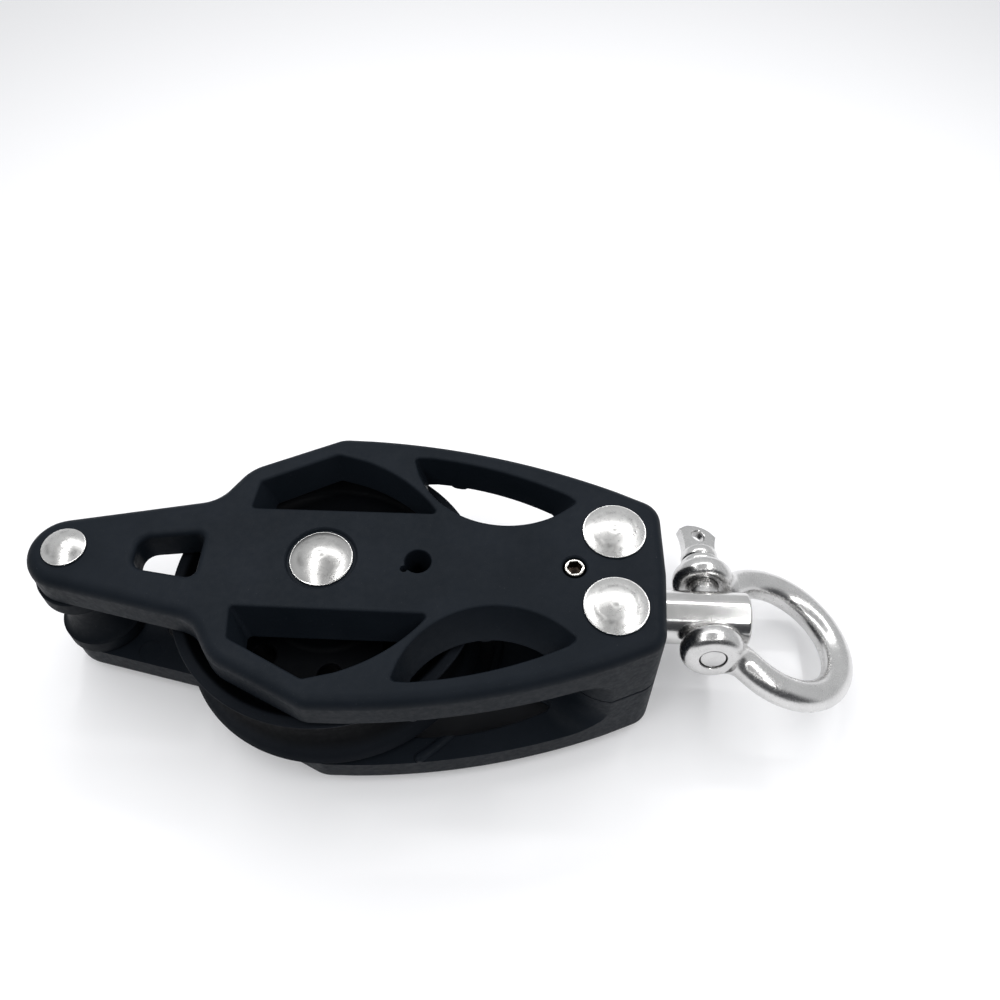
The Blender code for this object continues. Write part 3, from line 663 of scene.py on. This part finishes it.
def build_pin(finish):
    """Shackle pin: threaded end flush with the near eye, a double collar and a drilled tab."""
    profile = [(0, -11.2), (2.2, -11.2), (2.4, -11.12), (2.5, -10.9), (2.5, -5.2), (3.0, -4.6),
               (3.0, 11.75), (4.1, 11.75), (4.28, 11.85), (4.35, 12.1), (4.35, 12.8), (4.25, 13.05),
               (4.0, 13.2), (3.35, 13.3), (3.3, 13.5), (3.4, 13.75), (3.65, 13.9), (3.8, 14.2),
               (3.85, 14.7), (3.85, 15.4), (3.75, 15.9), (3.5, 16.2), (3.0, 16.35), (0, 16.4)]
    pin = add_mesh("shackle_screw_pin", rotated(turned(profile, 72), -pi / 2, "X"))
    flank = arc_through((3.6, 16.0), (3.62, 18.6), (4.28, 22.0), 12)
    crown = arc_through((4.3, 22.3), (0, 23.95), (-4.3, 22.3), 16)
    outline = [(3.6, 15.4)] + flank + crown[2:-3] + [(-x, y) for x, y in reversed(flank)] + [(-3.6, 15.4)]
    shape = flipped(outline, 1)
    tab = lofted([(shrunk(shape, 0.3), -1.1), (shrunk(shape, 0.09), -1.01), (shape, -0.8),
                  (shape, 0.8), (shrunk(shape, 0.09), 1.01), (shrunk(shape, 0.3), 1.1)])
    tilt = Matrix.Rotation(radians(17), 4, "Y")
    hole = [(1.7, -3), (1.7, -1.12), (1.5, -0.92), (1.5, 0.92), (1.7, 1.12), (1.7, 3)]
    eyelet = shifted(turned([(0, -3)] + hole + [(0, 3)], 40), 0, 21.1)
    combined(pin, [add_mesh("tab", moved(tab, tilt))], "UNION")
    combined(pin, [add_mesh("tab_hole", moved(eyelet, tilt))])
    softened(pin, 0.12)
    pin.data.transform(ROLL @ SHACKLE)
    return finished(pin, "pin", "polished_steel", finish, "shackle_pin", sharp=40)


# ---------------------------------------------------------------- node helpers

def new_material(name, colour, roughness, metallic=0.0):
    """A material with its tree, its Principled shader and its object coordinates."""
    made = bpy.data.materials.new(name)
    made.use_nodes = True
    tree = made.node_tree
    shader = tree.nodes["Principled BSDF"]
    shader.inputs["Base Color"].default_value = (*colour, 1)
    shader.inputs["Roughness"].default_value = roughness
    shader.inputs["Metallic"].default_value = metallic
    coords = tree.nodes.new("ShaderNodeTexCoord")
    return made, tree, shader, coords.outputs["Object"]


def noise_at(tree, coords, scale, detail=2.0, roughness=0.5, stretch=None):
    """Noise at a scale per metre; stretch scales each axis first."""
    if stretch:
        mapping = tree.nodes.new("ShaderNodeMapping")
        mapping.inputs["Scale"].default_value = stretch
        tree.links.new(coords, mapping.inputs["Vector"])
        coords = mapping.outputs["Vector"]
    texture = tree.nodes.new("ShaderNodeTexNoise")
    texture.inputs["Scale"].default_value = scale
    texture.inputs["Detail"].default_value = detail
    texture.inputs["Roughness"].default_value = roughness
    tree.links.new(coords, texture.inputs["Vector"])
    return texture.outputs["Fac"]


def mapped(tree, value, low, high, to_low, to_high):
    """value from low..high to to_low..to_high, held at the ends."""
    step = tree.nodes.new("ShaderNodeMapRange")
    step.inputs["From Min"].default_value = low
    step.inputs["From Max"].default_value = high
    step.inputs["To Min"].default_value = to_low
    step.inputs["To Max"].default_value = to_high
    tree.links.new(value, step.inputs["Value"])
    return step.outputs["Result"]


def blended(tree, factor, first, second):
    """A colour between first and second."""
    mix = tree.nodes.new("ShaderNodeMix")
    mix.data_type = "RGBA"
    tree.links.new(factor, mix.inputs["Factor"])
    for socket, colour in ((mix.inputs["A"], first), (mix.inputs["B"], second)):
        if isinstance(colour, tuple):
            socket.default_value = (*colour, 1)
        else:
            tree.links.new(colour, socket)
    return mix.outputs["Result"]


def bumped(tree, shader, heights):
    """Stack of (height value, strength, distance in metres) bumps on the shader."""
    normal = None
    for height, strength, distance in heights:
        bump = tree.nodes.new("ShaderNodeBump")
        bump.inputs["Strength"].default_value = strength
        bump.inputs["Distance"].default_value = distance
        tree.links.new(height, bump.inputs["Height"])
        if normal:
            tree.links.new(normal, bump.inputs["Normal"])
        normal = bump.outputs["Normal"]
    tree.links.new(normal, shader.inputs["Normal"])


def distance_from_axis(tree, coords, stretch=(1, 1, 0)):
    """Distance from the object's own upright axis, in metres; stretch scales each axis first."""
    flat = tree.nodes.new("ShaderNodeVectorMath")
    flat.operation = "MULTIPLY"
    flat.inputs[1].default_value = stretch
    tree.links.new(coords, flat.inputs[0])
    length = tree.nodes.new("ShaderNodeVectorMath")
    length.operation = "LENGTH"
    tree.links.new(flat.outputs["Vector"], length.inputs[0])
    return length.outputs["Value"]


def multiplied(tree, first, second):
    product = tree.nodes.new("ShaderNodeMath")
    product.operation = "MULTIPLY"
    tree.links.new(first, product.inputs[0])
    tree.links.new(second, product.inputs[1])
    return product.outputs["Value"]


def ring_around(tree, coords, radius):
    """A patchy band at a radius about the object's own upright axis, from 0 to 1."""
    away = distance_from_axis(tree, coords)
    rising = mapped(tree, away, radius - 0.0009, radius, 0.0, 1.0)
    falling = mapped(tree, away, radius + 0.0001, radius + 0.0007, 1.0, 0.0)
    patchy = mapped(tree, noise_at(tree, coords, 330, 3, 0.6), 0.42, 0.62, 0.0, 1.0)
    return multiplied(tree, multiplied(tree, rising, falling), patchy)


# ---------------------------------------------------------------- materials

def nylon(name, colour, dusty, roughness, grain, sheen=0.07, painted_shade_within=0.0):
    """Moulded plastic: fine grain, dusty patches and fibre specks; the radius argument at the end darkens the
    middle inside it as painted shade.
    """
    made, tree, shader, coords = new_material(name, colour, roughness)
    shader.inputs["Specular IOR Level"].default_value = sheen
    patches = noise_at(tree, coords, 70, 4, 0.6)
    mottle = noise_at(tree, coords, 900, 3, 0.6)
    specks = noise_at(tree, coords, 2600, 1, 0.5)
    soft = mapped(tree, patches, 0.35, 0.7, 0.0, 1.0)
    base = blended(tree, soft, colour, dusty)
    flecked = blended(tree, mapped(tree, specks, 0.74, 0.82, 0.0, 0.35), base, (0.06, 0.065, 0.07))
    if painted_shade_within:
        # Painted shade: inside this radius the colour drops to 0.3 of itself, standing in for the shade deep
        # in the pockets.
        rim = mapped(tree, distance_from_axis(tree, coords), painted_shade_within - 0.001, painted_shade_within, 0.0, 1.0)
        flecked = blended(tree, rim, tuple(0.3 * c for c in colour), flecked)
    tree.links.new(flecked, shader.inputs["Base Color"])
    spread = mapped(tree, mottle, 0.3, 0.7, roughness - 0.07, roughness + 0.09)
    tree.links.new(spread, shader.inputs["Roughness"])
    fine = noise_at(tree, coords, 3800, 3, 0.6)
    bumped(tree, shader, [(mottle, grain, 0.0001), (fine, grain * 1.4, 0.00005)])
    return made


def steel(name, colour, roughness, streaks=None, scratches=0.01, dents=0.0, ring=None):
    """Stainless steel: smears, fine scratches, shallow dents, and a ring where a tool pressed."""
    made, tree, shader, coords = new_material(name, colour, roughness, 1.0)
    smear = noise_at(tree, coords, 160, 4, 0.6)
    streak = noise_at(tree, coords, 1200, 4, 0.65, streaks or (1, 1, 1))
    tint = blended(tree, mapped(tree, smear, 0.4, 0.75, 0.0, 1.0), colour, tuple(0.85 * c for c in colour))
    if ring:
        worn = ring_around(tree, coords, ring)
        tint = blended(tree, worn, tint, tuple(0.6 * c for c in colour))
    tree.links.new(tint, shader.inputs["Base Color"])
    spread = mapped(tree, streak, 0.3, 0.7, roughness - 0.04, roughness + 0.05)
    tree.links.new(spread, shader.inputs["Roughness"])
    heights = [(streak, scratches, 0.00004)]
    if dents:
        heights.append((noise_at(tree, coords, 420, 2, 0.5), dents, 0.0002))
        heights.append((noise_at(tree, coords, 1300, 2, 0.5), 0.4 * dents, 0.0001))
    bumped(tree, shader, heights)
    return made


# ---------------------------------------------------------------- room

def area_light(name, place, target, size, power):
    light = bpy.data.lights.new(name, "AREA")
    light.shape = "RECTANGLE"
    light.size, light.size_y = size
    light.energy = power
    lamp = bpy.data.objects.new(name, light)
    lamp.location = place
    lamp.rotation_euler = (Vector(target) - Vector(place)).to_track_quat("-Z", "Y").to_euler()
    bpy.context.scene.collection.objects.link(lamp)
    return lamp


def build_camera():
    """A camera above the near side, placed and turned about the sheave's centre."""
    data = bpy.data.cameras.new("camera")
    data.lens = 36
    data.sensor_width = 36
    data.clip_start = 0.01
    camera = bpy.data.objects.new("camera", data)
    place = BLOCK + Vector((37.00, -99.11, 174.84)) * MM
    right = Vector((0.999127, 0.041623, 0.003476))
    up = Vector((-0.035768, 0.809667, 0.585797))
    turn = Matrix((right, up, right.cross(up))).transposed().to_4x4()
    camera.matrix_world = Matrix.Translation(place) @ turn
    bpy.context.scene.collection.objects.link(camera)
    bpy.context.scene.camera = camera


def build_floor():
    """Pale paper that glows a little, with a painted shadow: a dark patch where the body keeps the light off
    it.
    """
    patch_x, patch_half_length, patch_half_width = 22, 42, 24
    pale, painted_shadow, glow_strength, half_size = (0.85, 0.85, 0.865), (0.020, 0.022, 0.027), 0.16, 3
    bm = bmesh.new()
    bmesh.ops.create_grid(bm, x_segments=1, y_segments=1, size=half_size)
    mesh = bpy.data.meshes.new("floor")
    bm.to_mesh(mesh)
    bm.free()
    floor = bpy.data.objects.new("floor", mesh)
    floor.location = (BLOCK.x + patch_x * MM, 0, 0)
    bpy.context.scene.collection.objects.link(floor)
    made, tree, shader, coords = new_material("floor_paper", pale, 0.8)
    # The stretch makes the patch a circle of 1 mm, which fades over its outer part.
    across = distance_from_axis(tree, coords, (1 / patch_half_length, 1 / patch_half_width, 0))
    open_floor = mapped(tree, across, 0.00086, MM, 0.0, 1.0)
    # Painted shadow: the floor's colour goes near black under the body, in place of a shadow from the lights.
    paper = blended(tree, open_floor, painted_shadow, pale)
    tree.links.new(paper, shader.inputs["Base Color"])
    glow = blended(tree, open_floor, (0, 0, 0), (1, 1, 1))
    tree.links.new(glow, shader.inputs["Emission Color"])
    shader.inputs["Emission Strength"].default_value = glow_strength
    bumped(tree, shader, [(noise_at(tree, coords, 1500, 2), 0.02, 0.0001)])
    mesh.materials.append(made)


def build_world():
    """The tent's walls: pale behind and beside the object, open and dark towards the near side."""
    world = bpy.data.worlds.new("light_tent")
    bpy.context.scene.world = world
    world.use_nodes = True
    tree = world.node_tree
    coords = tree.nodes.new("ShaderNodeTexCoord")
    axes = tree.nodes.new("ShaderNodeSeparateXYZ")
    tree.links.new(coords.outputs["Generated"], axes.inputs["Vector"])
    background = tree.nodes["Background"]
    open_side, pale_wall, roof_colour = (0.07, 0.072, 0.078), (0.68, 0.69, 0.70), (0.44, 0.445, 0.45)
    beyond = mapped(tree, axes.outputs["Y"], -0.62, -0.3, 0.0, 1.0)
    walls = blended(tree, beyond, open_side, pale_wall)
    overhead = mapped(tree, axes.outputs["Z"], 0.72, 0.8, 0.0, 1.0)
    tree.links.new(blended(tree, overhead, walls, roof_colour), background.inputs["Color"])
    background.inputs["Strength"].default_value = 1.0


def build_lights():
    """Four bright strips round the tent's roof."""
    height, width = 0.235, 0.012
    left, right, near, far = -0.10, 0.13, -0.20, 0.15
    radiance, near_radiance = 24.0, 6.0
    middle_x, middle_y = (left + right) / 2, (near + far) / 2
    for name, place, size in (
            ("strip_left", (left, middle_y), (width, far - near)),
            ("strip_right", (right, middle_y), (width, far - near)),
            ("strip_near", (middle_x, near), (right - left, width)),
            ("strip_far", (middle_x, far), (right - left, width))):
        power = (near_radiance if name == "strip_near" else radiance) * pi * size[0] * size[1]
        x, y = place
        area_light(name, (x, y, height), (x, y, 0), size, power)


def set_tone():
    """Show the picture's tones as a plain product photograph does."""
    bpy.context.scene.view_settings.view_transform = "Standard"


def dress_cad_nodes(finishes):
    """Give every CAD node its material, whether or not a worked piece stands for it."""
    for name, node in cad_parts.items():
        node.data.materials.clear()
        node.data.materials.append(finishes[name])


# ---------------------------------------------------------------- assembly

cheek_finish = nylon("cheek_nylon", (0.0062, 0.0088, 0.0125), (0.0088, 0.0118, 0.0165), 0.5, 0.3)
# The sheave's middle, inside 28.6 mm, gets painted shade for the dim web seen down the pockets.
sheave_finish = nylon("sheave_nylon", (0.0062, 0.0080, 0.0110), (0.0085, 0.0105, 0.0140), 0.55, 0.12,
                      sheen=0.04, painted_shade_within=0.0286)
spool_finish = nylon("spool_nylon", (0.0050, 0.0068, 0.0095), (0.0070, 0.0090, 0.0120), 0.55, 0.12,
                     sheen=0.05)
bearing_finish = nylon("bearing_acetal", (0.75, 0.74, 0.7), (0.7, 0.69, 0.65), 0.4, 0.05, sheen=0.5)
rivet_finish = steel("rivet_steel", (0.64, 0.635, 0.625), 0.29, dents=0.012, ring=0.0040)
# Painted shade: a darker copy of the rivet steel, toning down the strip lights' reflection across the axle
# rivet's dome.
axle_rivet_shaded_finish = steel("axle_rivet_shaded_steel", (0.54, 0.535, 0.525), 0.3, dents=0.014, ring=0.0040)
small_rivet_finish = steel("small_rivet_steel", (0.64, 0.635, 0.625), 0.29, dents=0.012, ring=0.0028)
turned_finish = steel("turned_steel", (0.66, 0.655, 0.645), 0.17, streaks=(8, 1, 1), scratches=0.05)
polished_finish = steel("polished_steel", (0.64, 0.635, 0.63), 0.25, scratches=0.004)
screw_finish = steel("screw_steel", (0.55, 0.53, 0.50), 0.2, scratches=0.02)
# Painted shade for the inside of the lock screw's hex socket.
socket_shade_finish = steel("socket_painted_shade", (0.06, 0.045, 0.036), 0.4, scratches=0.02)

dress_cad_nodes({
    "cheek_upper": cheek_finish, "cheek_lower": cheek_finish, "sheave": sheave_finish,
    "sheave_bush": bearing_finish, "axle_washer_upper": bearing_finish, "axle_washer_lower": bearing_finish,
    "axle_sleeve": rivet_finish, "axle_rivet": axle_rivet_shaded_finish, "head_rivet_near": rivet_finish,
    "head_rivet_far": rivet_finish, "becket_rivet": small_rivet_finish, "becket_spool": spool_finish,
    "swivel_post": turned_finish, "swivel_lock_screw": turned_finish,
    "shackle_bow": polished_finish, "shackle_pin": polished_finish,
})

build_cheek("upper_cheek_shell", True, cheek_finish)
build_cheek("lower_cheek_shell", False, cheek_finish)
build_sheave(sheave_finish)
build_spool(spool_finish)
build_rivet("axle_rivet", (0, 0, 0), 4.0, 5.9, 16.65, 1, axle_rivet_shaded_finish)
build_rivet("head_rivet_near", (HEAD_RIVET_X, -HEAD_RIVET_Y, 0), 3.3, 6.0, 17.35, 2, rivet_finish)
build_rivet("head_rivet_far", (HEAD_RIVET_X, HEAD_RIVET_Y, 0), 3.3, 6.0, 17.35, 3, rivet_finish)
build_rivet("becket_rivet", (BECKET_X, 0, 0), 2.4, 4.15, 17.35, 4, small_rivet_finish)
build_post(turned_finish)
build_lock_screw(screw_finish, socket_shade_finish)
build_bow(polished_finish)
build_pin(polished_finish)

build_camera()
build_floor()
build_world()
build_lights()
set_tone()
